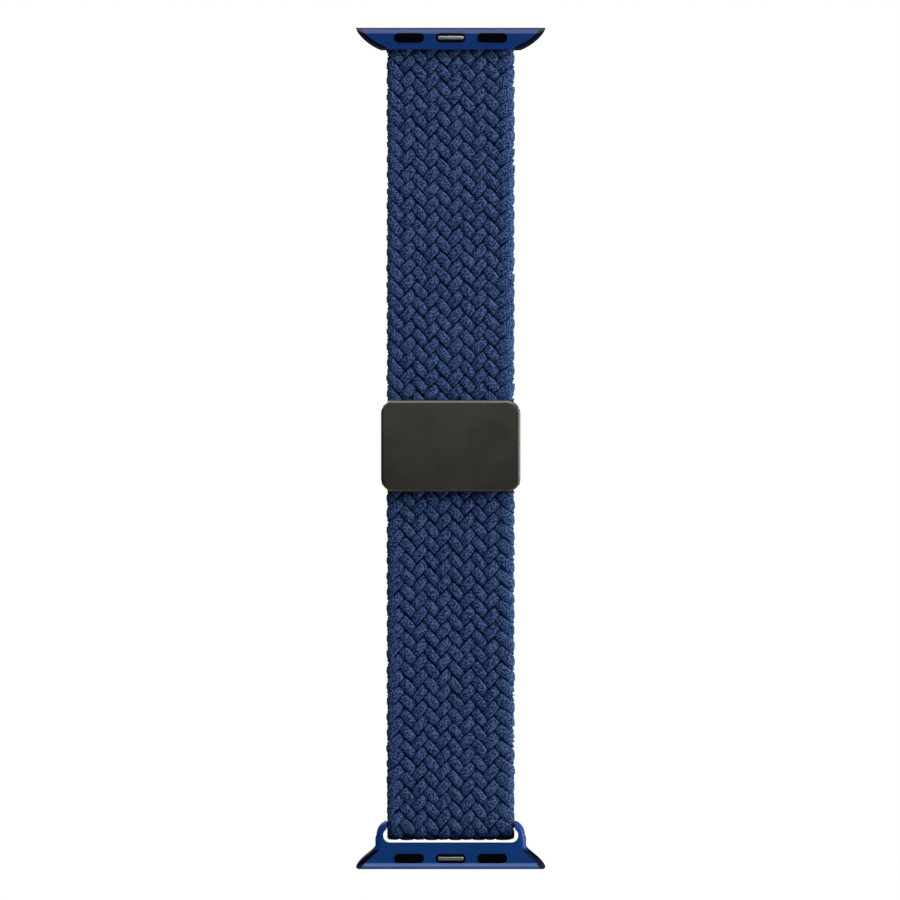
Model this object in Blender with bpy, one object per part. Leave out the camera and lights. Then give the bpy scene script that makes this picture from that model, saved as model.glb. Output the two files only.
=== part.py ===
"""Braided nylon band for a wrist-worn fitness tracker.

The band hangs straight down from its upper lug. X runs across the strap, Z along
it, and -Y is the side that faces the wrist. The origin is the middle of the flat
outer end of the upper lug, which slides into the tracker's case.
"""
import math

import bmesh
import bpy

MM = 0.001

# Driving dimensions, in millimetres.
STRAP_WIDTH = 22.0
STRAP_THICK = 2.0
STRAP_EDGE_RADIUS = 0.6
SEGMENT_GAP = 0.32
FIT_GAP = 0.1
CLEARANCE = 0.15

LUG_WIDTH = 32.8
LUG_HEIGHT = 3.8
LUG_THICK = 3.8
LUG_EDGE = 0.7
LUG_END_DEPTH = 5.4
LUG_END_CURVE = 1.45
LUG_END_HEIGHT = 4.1
LUG_TIP_ROUND = 0.35
FLARE_BLEND = 24
SOCKET_TOP = -2.95

PILL_LENGTH = 5.0
PILL_HEIGHT = 1.45
PILL_SPACING = 7.2
PILL_INSET = 1.8
PAD_DEPTH = 0.8
PAD_PROUD = 0.15
DETENT_DEPTH = 2.9
DETENT_BAR_LENGTH = 4.4
DETENT_BAR_HEIGHT = 0.5
DETENT_BAR_PROUD = 0.3
DETENT_BAR_DEPTH = 1.65
DETENT_SLOT_DEPTH = 2.5
SPRING_LENGTH = 4.0
SPRING_THICK = 0.12
SPRING_RISE = 0.25

UPPER_BEND_TOP = -7.5
UPPER_BEND_STEP = 8.1
UPPER_BENDS = 7
LOWER_BEND_TOP = -87.6
LOWER_BEND_STEP = 7.9
LOWER_BENDS = 6

CLASP_WIDTH = 24.1
CLASP_HEIGHT = 15.8
CLASP_MIDDLE = -72.4
CLASP_CORNER = 1.9
CLASP_FACE = 2.75
CLASP_INNER = 1.35
CLASP_EDGE = 0.7
CLASP_CHEEK = 0.75
CLASP_CHEEK_REACH = 1.2
CLASP_BLOCK_HALF = 2.8
CLASP_MATING_GAP = 0.1
PIN_RADIUS = 0.5
PIN_INSET = 1.6
TIP_HOLE_RADIUS = 0.6
TIP_LENGTH = 2.15
MAGNET_SIZE = (7.0, 3.6, 0.9)
MAGNET_OFFSET = 5.4
STUD_RADIUS = 1.0
STUD_SINK = 1.1
STUD_RISE = 0.75

LOWER_END = -145.7
LOWER_LUG_FACE = -1.3
FRAME_TOP = -136.85
FRAME_SIDE = 13.0
FRAME_CORNER = 2.4
SLOT_TOP = -138.65
SLOT_BOTTOM = -141.2
SLOT_HALF = 11.7
SLOT_CORNER = 1.15
BAR_Y = 1.85
BAR_THICK = 1.2
CROSSBAR_ROOT = 0.4
LOOP_CLEAR = 0.25
LOOP_CLOSE = 3.0
TAB_END = -128.6

SURFACES = {
    "braid": ((0.019, 0.037, 0.100), 0.85, 0.0),
    "lug": ((0.007, 0.032, 0.138), 0.35, 0.0),
    "pad": ((0.004, 0.004, 0.005), 0.6, 0.0),
    "steel": ((0.55, 0.56, 0.58), 0.3, 1.0),
    "clasp": ((0.033, 0.032, 0.028), 0.4, 1.0),
    "magnet": ((0.35, 0.35, 0.37), 0.35, 1.0),
    "tip": ((0.012, 0.016, 0.035), 0.5, 0.0),
}


def clear_scene():
    for old in list(bpy.data.objects):
        bpy.data.objects.remove(old, do_unlink=True)


def surface(name):
    material = bpy.data.materials.get(name)
    if material is None:
        colour, roughness, metallic = SURFACES[name]
        material = bpy.data.materials.new(name)
        material.use_nodes = True
        shader = material.node_tree.nodes["Principled BSDF"]
        shader.inputs["Base Color"].default_value = (*colour, 1.0)
        shader.inputs["Roughness"].default_value = roughness
        shader.inputs["Metallic"].default_value = metallic
    return material


def place(axis, across, up, along):
    """A point from its place in the outline and along the axis of extrusion."""
    if axis == "X":
        return (along * MM, across * MM, up * MM)
    if axis == "Y":
        return (across * MM, along * MM, up * MM)
    return (across * MM, up * MM, along * MM)


def prism(outline, axis, low, high, edge=0.0, edge_at=()):
    """A closed outline pushed from low to high along an axis, with rounded rims."""
    bm = bmesh.new()
    ring = [bm.verts.new(place(axis, a, b, low)) for a, b in outline]
    base = bm.faces.new(ring)
    pushed = bmesh.ops.extrude_face_region(bm, geom=[base])["geom"]
    tops = [item for item in pushed if isinstance(item, bmesh.types.BMVert)]
    step = [t - s for t, s in zip(place(axis, 0, 0, high), place(axis, 0, 0, low))]
    bmesh.ops.translate(bm, verts=tops, vec=step)
    bmesh.ops.recalc_face_normals(bm, faces=bm.faces)
    index = "XYZ".index(axis)
    for level in edge_at:
        rim = [e for e in bm.edges
               if all(abs(v.co[index] - level * MM) < 1e-7 for v in e.verts)]
        bmesh.ops.bevel(bm, geom=rim, offset=edge * MM, offset_type="OFFSET",
                        segments=3, profile=0.5, affect="EDGES", clamp_overlap=True,
                        material=-1)
    return bm


def add(name, bm, finish, on_axis=None):
    """A finished piece, with its origin on its joint's axis where it has one."""
    if on_axis:
        bmesh.ops.translate(bm, verts=bm.verts, vec=[-value * MM for value in on_axis])
    mesh = bpy.data.meshes.new(name)
    bm.to_mesh(mesh)
    bm.free()
    mesh.materials.append(surface(finish))
    piece = bpy.data.objects.new(name, mesh)
    if on_axis:
        piece.location = [value * MM for value in on_axis]
    bpy.context.scene.collection.objects.link(piece)
    return piece


def cut(piece, bm, name, operation="DIFFERENCE"):
    """Takes a shape away from a piece, or joins it on, with a hidden helper."""
    helper = add(name, bm, "steel")
    helper.hide_render = True
    helper.display_type = "WIRE"
    helper.hide_set(True)
    boolean = piece.modifiers.new(name, "BOOLEAN")
    boolean.operation = operation
    boolean.solver = "EXACT"
    boolean.object = helper


def arc(centre, radius, start, end, steps):
    """Points on an arc between two angles in degrees."""
    points = []
    for step in range(steps + 1):
        angle = math.radians(start + (end - start) * step / steps)
        points.append((centre[0] + radius * math.cos(angle),
                       centre[1] + radius * math.sin(angle)))
    return points


def rounded_rectangle(width, height, radius, centre=(0.0, 0.0), steps=4):
    points = []
    for turn, (sx, sy) in enumerate(((1, 1), (-1, 1), (-1, -1), (1, -1))):
        corner = (centre[0] + sx * (width / 2 - radius), centre[1] + sy * (height / 2 - radius))
        points += arc(corner, radius, 90 * turn, 90 * turn + 90, steps)
    return points


def pill(length, height, centre):
    radius = height / 2
    right = (centre[0] + length / 2 - radius, centre[1])
    left = (centre[0] - length / 2 + radius, centre[1])
    return arc(right, radius, -90, 90, 8) + arc(left, radius, 90, 270, 8)


def box(x, y, z):
    """A block from its lowest and highest place on each axis."""
    return prism([(x[0], z[0]), (x[1], z[0]), (x[1], z[1]), (x[0], z[1])], "Y", *y)


def rod(radius, centre, low, high, sides=20):
    """A round bar along X."""
    return prism(arc(centre, radius, 0, 360 * (sides - 1) / sides, sides - 1), "X", low, high)


def mirrored(half):
    """An outline from its right half, listed from the top down."""
    return half + [(-x, z) for x, z in reversed(half)]


def lug_end(depth):
    """Half the lug's width at a distance in from its outer end."""
    share = min(max(depth / LUG_END_HEIGHT, 0.0), 1.0)
    swell = (1 - share ** LUG_END_CURVE) ** (1 / LUG_END_CURVE)
    return LUG_WIDTH / 2 - LUG_END_DEPTH * (1 - swell)


# ---- strap ---------------------------------------------------------------------

def strap_outline():
    return rounded_rectangle(STRAP_WIDTH, STRAP_THICK, STRAP_EDGE_RADIUS, steps=3)


def strap_piece(name, top, bottom, on_axis=None):
    add(name, prism(strap_outline(), "Z", bottom, top), "braid", on_axis)


def upper_strap():
    half_gap = SEGMENT_GAP / 2
    bends = [UPPER_BEND_TOP - UPPER_BEND_STEP * i for i in range(UPPER_BENDS)]
    strap_piece("upper_strap_root", SOCKET_TOP - FIT_GAP, bends[0] + half_gap)
    tip_top = upper_pin() + TIP_LENGTH - PIN_RADIUS
    ends = bends[1:] + [tip_top + FIT_GAP - half_gap]
    for i, (top, bottom) in enumerate(zip(bends, ends)):
        strap_piece(f"upper_strap_{i + 1}", top - half_gap, bottom + half_gap, (0, 0, top))
    add("upper_strap_tip", strap_tip(upper_pin(), 1), "tip", (0, 0, bends[-1]))
    cut(bpy.data.objects["upper_strap_tip"],
        rod(TIP_HOLE_RADIUS, (0, upper_pin()), -STRAP_WIDTH, STRAP_WIDTH), "upper_tip_bore")


def lower_strap():
    half_gap = SEGMENT_GAP / 2
    bends = [LOWER_BEND_TOP - LOWER_BEND_STEP * i for i in range(LOWER_BENDS)]
    tip_bottom = lower_pin() - TIP_LENGTH + PIN_RADIUS
    starts = [tip_bottom - FIT_GAP + half_gap] + bends[:-1]
    pivots = [lower_pin()] + bends[:-1]
    for i, (top, bottom) in enumerate(zip(starts, bends)):
        strap_piece(f"lower_strap_{i + 1}", top - half_gap, bottom + half_gap, (0, 0, pivots[i]))
    add("lower_strap_tip", strap_tip(lower_pin(), -1), "tip", (0, 0, lower_pin()))
    cut(bpy.data.objects["lower_strap_tip"],
        rod(TIP_HOLE_RADIUS, (0, lower_pin()), -STRAP_WIDTH, STRAP_WIDTH), "lower_tip_bore")
    strap_fold(bends[-1])


def strap_tip(pin_z, way):
    """The moulded end of the braid, rounded about the clasp's pin. way is 1 where the
    strap leaves it upwards."""
    half = STRAP_THICK / 2
    mouth = pin_z + way * (TIP_LENGTH - PIN_RADIUS)
    if way > 0:
        outline = [(half, mouth), (-half, mouth)] + arc((0, pin_z), half, 180, 360, 10)
    else:
        outline = [(-half, mouth), (half, mouth)] + arc((0, pin_z), half, 0, 180, 10)
    reach = STRAP_WIDTH / 2 - FIT_GAP
    return prism(outline, "X", -reach, reach)


def strap_fold(pivot):
    """The lower end of the strap: it passes in front of the lug's crossbar, turns up
    behind it and is sewn down on itself."""
    front = -STRAP_THICK / 2
    bar_half = (FRAME_TOP - SLOT_TOP) / 2
    bar_z = FRAME_TOP - bar_half
    hole = BAR_THICK / 2 + LOOP_CLEAR
    radius = BAR_Y - front
    back = BAR_Y + radius
    tab_back = STRAP_THICK / 2 + STRAP_THICK - FIT_GAP
    close = bar_z + LOOP_CLOSE
    outline = [(front, pivot - SEGMENT_GAP / 2)]
    outline += arc((BAR_Y, bar_z), radius, 180, 360, 16)
    outline += [(back, bar_z + 0.4), (tab_back, close + 1.2), (tab_back, TAB_END),
                (STRAP_THICK / 2, TAB_END + 0.5), (STRAP_THICK / 2, pivot - SEGMENT_GAP / 2)]
    add("lower_strap_fold", prism(outline, "X", -STRAP_WIDTH / 2, STRAP_WIDTH / 2), "braid",
        (0, 0, pivot))
    inner = arc((BAR_Y, bar_z - (bar_half - BAR_THICK / 2)), hole, 180, 360, 12)
    inner += [(BAR_Y + hole, bar_z + 0.3), (STRAP_THICK / 2 + 0.3, close), (STRAP_THICK / 2, close)]
    cut(bpy.data.objects["lower_strap_fold"], prism(inner, "X", -STRAP_WIDTH, STRAP_WIDTH),
        "fold_eye")


# ---- lugs ----------------------------------------------------------------------

def pills_row(lug, prefix, face, row_z, body_low, body_high):
    """The two rubber pads and the sprung detent between them, in pockets of a lug."""
    pocket = (PILL_LENGTH + 2 * FIT_GAP, PILL_HEIGHT + 2 * FIT_GAP)
    for side, word in ((-1, "left"), (1, "right")):
        centre = (side * PILL_SPACING, row_z)
        cut(lug, prism(pill(*pocket, centre), "Y", face - 1, face + PAD_DEPTH),
            f"{prefix}_pocket_{word}")
        pad = prism(pill(PILL_LENGTH, PILL_HEIGHT, centre), "Y", face - PAD_PROUD,
                    face + PAD_DEPTH - FIT_GAP)
        add(f"{prefix}_pad_{word}", pad, "pad")
    centre = (0.0, row_z)
    cut(lug, prism(pill(*pocket, centre), "Y", face - 1, face + DETENT_DEPTH),
        f"{prefix}_detent_pocket")
    housing = add(f"{prefix}_detent_housing",
                  prism(pill(PILL_LENGTH, PILL_HEIGHT, centre), "Y", face - 0.05,
                        face + DETENT_DEPTH - FIT_GAP), "pad")
    slot_half = DETENT_BAR_LENGTH / 2 + FIT_GAP
    slot_rise = DETENT_BAR_HEIGHT / 2 + FIT_GAP
    cut(housing, box((-slot_half, slot_half), (face - 1, face + DETENT_SLOT_DEPTH),
                     (row_z - slot_rise, row_z + slot_rise)), f"{prefix}_detent_slot")
    bar_front = face - DETENT_BAR_PROUD
    add(f"{prefix}_detent_bar",
        prism(rounded_rectangle(DETENT_BAR_LENGTH, DETENT_BAR_HEIGHT, 0.15, centre, 2), "Y",
              bar_front, bar_front + DETENT_BAR_DEPTH),
        "steel", (0, bar_front, row_z))
    add(f"{prefix}_detent_spring", leaf_spring(face + DETENT_SLOT_DEPTH, row_z), "steel")


def leaf_spring(floor, row_z):
    """A thin bowed strip that lies in the bottom of the detent's slot."""
    half = SPRING_LENGTH / 2
    steps = 10
    near, far = [], []
    for i in range(steps + 1):
        x = -half + SPRING_LENGTH * i / steps
        y = floor - 0.05 - SPRING_RISE * math.cos(math.pi * x / SPRING_LENGTH)
        near.append((x, y - SPRING_THICK))
        far.append((x, y))
    return prism(near + far[::-1], "Z", row_z - 0.2, row_z + 0.2)


def upper_lug():
    depths = [LUG_HEIGHT * i / 9 for i in range(10)]
    half = [(lug_end(depth), -depth) for depth in depths]
    face = -LUG_THICK / 2
    lug = add("upper_lug", prism(mirrored(half), "Y", face, -face, LUG_EDGE, (face, -face)), "lug")
    reach = STRAP_WIDTH / 2 + CLEARANCE
    deep = STRAP_THICK / 2 + CLEARANCE
    cut(lug, box((-reach, reach), (-deep, deep), (-LUG_HEIGHT - 1, SOCKET_TOP)), "upper_socket")
    pills_row(lug, "upper", face, -PILL_INSET, -1, 1)


def frame_side(z):
    """Half the width of the lower lug: its flared end runs into the straight ears."""
    flare = lug_end(z - LOWER_END - LUG_TIP_ROUND)
    return (flare ** FLARE_BLEND + FRAME_SIDE ** FLARE_BLEND) ** (1 / FLARE_BLEND)


def crossbar(reach):
    """The round-edged bar between the ears, which the strap turns around."""
    radius = BAR_THICK / 2
    outline = arc((BAR_Y, FRAME_TOP - radius), radius, 0, 180, 8)
    outline += arc((BAR_Y, SLOT_TOP + radius), radius, 180, 360, 8)
    return prism(outline, "X", -reach, reach)


def lower_lug():
    low = LOWER_LUG_FACE
    high = low + LUG_THICK
    corner = (FRAME_SIDE - 0.15 - FRAME_CORNER, FRAME_TOP - FRAME_CORNER)
    half = list(reversed(arc(corner, FRAME_CORNER, 0, 90, 6)))
    heights = [corner[1] - 1.2, SLOT_BOTTOM + 0.4]
    heights += [SLOT_BOTTOM - 0.45 * i for i in range(9)]
    half += [(frame_side(z), z) for z in heights]
    half += [(frame_side(LOWER_END + LUG_TIP_ROUND), LOWER_END + LUG_TIP_ROUND),
             (frame_side(LOWER_END) - LUG_TIP_ROUND, LOWER_END)]
    lug = add("lower_lug", prism(mirrored(half), "Y", low, high, LUG_EDGE, (low, high)), "lug",
              (0, BAR_Y, (FRAME_TOP + SLOT_TOP) / 2))
    middle = (SLOT_TOP + SLOT_BOTTOM) / 2
    slot = rounded_rectangle(2 * SLOT_HALF, SLOT_TOP - SLOT_BOTTOM, SLOT_CORNER, (0, middle))
    cut(lug, prism(slot, "Y", low - 1, high + 1), "frame_slot")
    reach = STRAP_WIDTH / 2 + CLEARANCE
    cut(lug, box((-reach, reach), (low - 1, high + 1), (middle, FRAME_TOP + 1)), "frame_mouth")
    cut(lug, crossbar(reach + CROSSBAR_ROOT), "crossbar", "UNION")
    pills_row(lug, "lower", low, LOWER_END + PILL_INSET + 0.1, low, high)


# ---- clasp ---------------------------------------------------------------------

def upper_pin():
    return CLASP_MIDDLE + CLASP_HEIGHT / 2 - PIN_INSET


def lower_pin():
    return CLASP_MIDDLE - CLASP_HEIGHT / 2 + PIN_INSET


def clasp_half(name, way):
    """One half of the clasp. way is 1 for the half on the wrist side, whose strap
    leaves upwards, and -1 for the half that lies outside, turned end for end."""
    def across(low, high):
        return (low, high) if way > 0 else (-high, -low)

    def along(low, high):
        places = (CLASP_MIDDLE + way * low, CLASP_MIDDLE + way * high)
        return (min(places), max(places))

    wide = CLASP_WIDTH
    shell = prism(rounded_rectangle(CLASP_WIDTH, CLASP_HEIGHT, CLASP_CORNER, (0, CLASP_MIDDLE)),
                  "Y", *across(-CLASP_FACE, CLASP_CHEEK_REACH), CLASP_EDGE, (-way * CLASP_FACE,))
    half = add(name, shell, "clasp")
    bay = CLASP_WIDTH / 2 - CLASP_CHEEK
    block = CLASP_BLOCK_HALF
    room = (-CLASP_INNER, CLASP_FACE + 1)
    ends = CLASP_HEIGHT
    cut(half, box((-bay, bay), across(*room), along(block, ends)), f"{name}_bay")
    cut(half, box((-wide, wide), across(-CLASP_MATING_GAP, CLASP_FACE), along(-block, block + 0.3)),
        f"{name}_mating_face")
    cut(half, box((-wide, wide), across(*room), along(-ends, -block)), f"{name}_open_end")
    pin = upper_pin() if way > 0 else lower_pin()
    cut(half, rod(PIN_RADIUS + FIT_GAP, (0, pin), -wide, wide), f"{name}_pin_bore")
    length, height, thick = MAGNET_SIZE
    outer = CLASP_MATING_GAP + FIT_GAP
    for side, word in ((-1, "left"), (1, "right")):
        x = side * MAGNET_OFFSET
        pocket = rounded_rectangle(length + 2 * FIT_GAP, height + 2 * FIT_GAP, 0.5,
                                   (x, CLASP_MIDDLE), 2)
        cut(half, prism(pocket, "Y", *across(-outer - thick - FIT_GAP, 1)), f"{name}_pocket_{word}")
        magnet = rounded_rectangle(length, height, 0.4, (x, CLASP_MIDDLE), 2)
        add(f"{name}_magnet_{word}", prism(magnet, "Y", *across(-outer - thick, -outer)), "magnet")
    reach = CLASP_WIDTH / 2 - 0.1
    add(f"{name}_pin", rod(PIN_RADIUS, (0, pin), -reach, reach), "steel")
    return half


def clasp():
    base = clasp_half("clasp_base", 1)
    cover = clasp_half("clasp_cover", -1)
    centre = (0, CLASP_MIDDLE)
    stud = arc(centre, STUD_RADIUS, 0, 345, 23)
    seat = arc(centre, STUD_RADIUS + FIT_GAP, 0, 345, 23)
    socket = arc(centre, STUD_RADIUS + CLEARANCE, 0, 345, 23)
    cut(base, prism(seat, "Y", -STUD_SINK - FIT_GAP, 1), "stud_seat")
    cut(cover, prism(socket, "Y", -1, STUD_RISE + CLEARANCE), "stud_socket")
    add("clasp_stud", prism(stud, "Y", -STUD_SINK, STUD_RISE), "steel")


def smooth_round_pieces():
    for piece in bpy.data.objects:
        piece.data.shade_smooth()
        piece.data.set_sharp_from_angle(angle=math.radians(35))


clear_scene()
upper_lug()
upper_strap()
clasp()
lower_strap()
lower_lug()
smooth_round_pieces()
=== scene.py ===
"""Looks of a braided nylon tracker band: the braid, the two case lugs with their pads
and detents, and the magnetic clasp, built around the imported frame."""
import math
import random

import bmesh
import bpy
from mathutils import Matrix, Vector, noise


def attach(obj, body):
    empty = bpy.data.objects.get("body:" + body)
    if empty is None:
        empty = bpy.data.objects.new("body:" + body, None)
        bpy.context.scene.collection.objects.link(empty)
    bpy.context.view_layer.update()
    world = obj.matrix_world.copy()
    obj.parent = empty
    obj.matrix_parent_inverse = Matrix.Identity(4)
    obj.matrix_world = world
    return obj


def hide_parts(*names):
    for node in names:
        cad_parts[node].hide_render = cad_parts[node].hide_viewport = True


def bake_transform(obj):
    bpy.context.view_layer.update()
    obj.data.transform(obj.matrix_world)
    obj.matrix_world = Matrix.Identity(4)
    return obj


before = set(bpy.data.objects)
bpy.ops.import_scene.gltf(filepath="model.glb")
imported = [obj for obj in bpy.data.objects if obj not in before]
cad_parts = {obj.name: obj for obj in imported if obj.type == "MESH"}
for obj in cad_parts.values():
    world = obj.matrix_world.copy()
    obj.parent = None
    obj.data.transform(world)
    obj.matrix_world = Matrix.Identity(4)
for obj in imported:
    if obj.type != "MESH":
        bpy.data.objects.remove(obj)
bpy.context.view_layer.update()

MM = 0.001

# ---- strap braid, in millimetres --------------------------------------------------
PITCH = 2.705               # how far one float lies below the next
COLUMNS = 10                # columns of floats across the strap
STRANDS = 19                # flat yarn bundles that zigzag from edge to edge
UPPER_PHASE, LOWER_PHASE = -0.265, 0.045    # where the first strand starts, in pitches
EDGE_DROP_OVER, EDGE_DROP_UNDER = 0.95, 0.55    # pitches dropped in an edge column
EDGE_LEFT, INNER_LEFT = -10.70, -8.45
EDGE_RIGHT, INNER_RIGHT = 10.68, 8.10
FLOAT_HEIGHT = 0.47         # how far over or under the middle a strand lies
FLOAT_SQUARE = 0.42         # how late a strand dives; a smaller value is later
FLOAT_FLAT = 0.13           # how much flatter a strand runs over than under
BUNDLE_THICK = 0.52         # half the thickness of a bundle
BUNDLE_GAP = 0.042
BUNDLE_POINTS = 16          # round a bundle
BUNDLE_SQUARE = 0.62        # how round a bundle's section is; a smaller value is squarer
RINGS = 7                   # along one column
COLUMN_RUN = 3.4            # a strand's length in one column
EDGE_WIDEN, EDGE_THIN = 0.07, 0.16   # a bundle spreads where it turns at an edge
FOLD_NOSE = 0.25            # how round that turn is
WIDTH_SPREAD, DROP_SPREAD = (-0.05, 0.03), 0.08     # how unlike the strands are
STRAY_SCALE, STRAY_REACH = 0.42, 0.11               # and how they wander on the way
CORE_HALF, CORE_THICK = 9.9, 0.16   # the elastic core that the strands close over
EDGE_LEVEL = 10.05          # the strands turn round this line at the strap's edges
ROW_BOW = 0.55              # the middle of a row lies this much lower than its ends
MARGIN = 1.5                # braid made past each end, before it is trimmed
YARN_WIDE, PLY_LONG = 0.37, 0.40    # one yarn of a bundle, and one turn of its plies
PLY_SHIFT, PLY_SLANT = 0.37, 0.45   # turns from one yarn to the next, and across a yarn
PLY_DRIFT, PLY_FUZZ = 3.5, 0.9      # and how far the mottle and the grain push the plies
BRAID_DEEP, BRAID_NAVY = (0.0012, 0.0085, 0.0460, 1), (0.0026, 0.0130, 0.0550, 1)
# the first colour here is a painted highlight for ply tops and filament glints; the second is
# painted shade for the dips
BRAID_PAINTED_GLINT, BRAID_SHADE = (0.0440, 0.0800, 0.1880, 1), (0.0000, 0.0035, 0.0340, 1)
BRAID_LEVELS = (0.38, 0.72)         # between these heights the shade gives way

# ---- strap layout -----------------------------------------------------------------
UPPER_TOP, UPPER_BOTTOM = -3.05, -64.85
LOWER_TOP = -79.95
UPPER_BEND_TOP, UPPER_BEND_STEP, UPPER_BENDS = -7.5, 8.1, 7
LOWER_BEND_TOP, LOWER_BEND_STEP, LOWER_BENDS = -87.6, 7.9, 6
BAR_Y = 1.85                # the middle of the crossbar that the lower end turns round
FOLD_Z = -138.08            # where the strap starts to turn
FOLD_PULL = 0.42            # how much flatter the braid is drawn at the bottom of the turn
FOLD_FACE = 0.74            # the braid's face, out from its middle
FOLD_HALF = 11.06
TAB_Y = 2.02                # how far back the sewn tab lies
TAB_RISE = 4.3              # how far the tab takes to come back to the strap
TAB_END = -128.6

# ---- lugs and clasp ---------------------------------------------------------------
FIT_GAP = 0.1
CLEARANCE = 0.15
STRAP_WIDTH, STRAP_THICK = 22.0, 2.0
LUG_WIDTH, LUG_HEIGHT, LUG_THICK = 32.8, 3.8, 3.8
UPPER_LUG_EDGE, LOWER_LUG_EDGE = 0.95, 1.1
LUG_END_DEPTH, LUG_END_CURVE, LUG_END_HEIGHT = 5.4, 1.45, 4.1
LUG_TIP_ROUND = 0.35
LUG_BAND = (0.45, 1.06)     # the chamfer with the painted highlight, measured in from the outer end
LUG_STEP = (0.42, 0.95)     # how deep the two flats of that end go
LUG_LONG_EDGE = 0.3
BAND_STOP = (16.5, 15.9)    # the painted highlight fades out along this width, towards the tips
SIDE_START = (11.0, 11.3)   # the painted blue-black shade begins this far out
TIP_START = (15.5, 15.8)    # and on the outer end only this far out
SIDE_TURN = (0.996, 0.975)  # where a face has turned this far to the side
# the colour of the painted shade on the sides of the lug ends that turn away
SIDE_SHADE_BLUE_BLACK = (0.0002, 0.0004, 0.0060, 1)
FLARE_BLEND, FLARE_STEEP = 16, 1.1   # how the lower lug runs out to its flared end
SOCKET_TOP = -2.95
PILL_LENGTH, PILL_HEIGHT, PILL_SPACING, PILL_INSET = 5.0, 1.45, 7.2, 1.8
PAD_DEPTH, PAD_PROUD, HOUSING_PROUD = 0.8, 0.15, 0.05
DETENT_DEPTH, DETENT_SLOT_DEPTH = 2.9, 2.5
BAR_LENGTH, BAR_HEIGHT, BAR_PROUD, BAR_DEPTH = 4.4, 0.5, 0.3, 1.65
LOWER_END, LOWER_LUG_FACE = -145.7, -1.3
FRAME_TOP, FRAME_SIDE, FRAME_CORNER = -137.2, 13.0, 2.5
SLOT_TOP, SLOT_BOTTOM, SLOT_HALF, SLOT_CORNER = -138.65, -141.2, 11.7, 1.15
BAR_THICK, CROSSBAR_ROOT = 1.16, 0.4
CLASP_WIDTH, CLASP_HEIGHT, CLASP_MIDDLE, CLASP_CORNER = 24.1, 15.8, -72.4, 2.3
CLASP_FACE, CLASP_INNER, CLASP_EDGE = 2.75, 1.35, 0.55
CLASP_CHEEK, CLASP_CHEEK_REACH, CLASP_BLOCK = 0.75, 1.2, 2.8
MATING_GAP = 0.1
PIN_RADIUS, PIN_INSET = 0.5, 1.6
MAGNET_SIZE, MAGNET_OFFSET = (7.0, 3.6, 0.9), 5.4
STUD_RADIUS, STUD_SINK, STUD_RISE = 1.0, 1.1, 0.75


# ---- mesh tools ---------------------------------------------------------------------

def block(x, y, z, along=None, corner=0.0, steps=10):
    """A block from its lowest and highest place on each axis, in millimetres. The
    edges that run along one axis may be rounded."""
    bm = bmesh.new()
    bmesh.ops.create_cube(bm, size=1.0)
    spans = [Vector(span) * MM for span in (x, y, z)]
    bmesh.ops.scale(bm, verts=bm.verts, vec=[span[1] - span[0] for span in spans])
    bmesh.ops.translate(bm, verts=bm.verts, vec=[(span[0] + span[1]) / 2 for span in spans])
    if corner:
        index = "XYZ".index(along)
        upright = [e for e in bm.edges
                   if abs((e.verts[0].co - e.verts[1].co).normalized()[index]) > 0.99]
        bmesh.ops.bevel(bm, geom=upright, offset=corner * MM, offset_type="OFFSET",
                        segments=steps, profile=0.5, affect="EDGES", clamp_overlap=True,
                        material=-1)
        bmesh.ops.remove_doubles(bm, verts=bm.verts, dist=1e-7)
    return bm


def pill(length, height, x, z, y):
    """A round-ended slug along X, standing from one Y to another."""
    return block((x - length / 2, x + length / 2), y, (z - height / 2, z + height / 2), "Y",
                 height / 2 - 0.002, 14)


def rod(radius, y, z, low, high, sides=32):
    """A round bar along X."""
    bm = bmesh.new()
    bmesh.ops.create_cone(bm, cap_ends=True, segments=sides, radius1=radius * MM,
                          radius2=radius * MM, depth=(high - low) * MM,
                          matrix=Matrix.Translation(Vector(((low + high) / 2, y, z)) * MM)
                          @ Matrix.Rotation(math.pi / 2, 4, "Y"))
    return bm


def disc(radius, z, y, sides=40):
    """A round slug along Y."""
    bm = bmesh.new()
    bmesh.ops.create_cone(bm, cap_ends=True, segments=sides, radius1=radius * MM,
                          radius2=radius * MM, depth=(y[1] - y[0]) * MM,
                          matrix=Matrix.Translation(Vector((0, sum(y) / 2, z)) * MM)
                          @ Matrix.Rotation(math.pi / 2, 4, "X"))
    return bm


def round_rim(bm, level, width, segments):
    """Rounds the edges that lie at one Y."""
    rim = [e for e in bm.edges if all(abs(v.co.y - level * MM) < 1e-7 for v in e.verts)]
    bmesh.ops.bevel(bm, geom=rim, offset=width * MM, offset_type="OFFSET", segments=segments,
                    profile=0.5, affect="EDGES", clamp_overlap=True, material=-1)
    return bm


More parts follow.
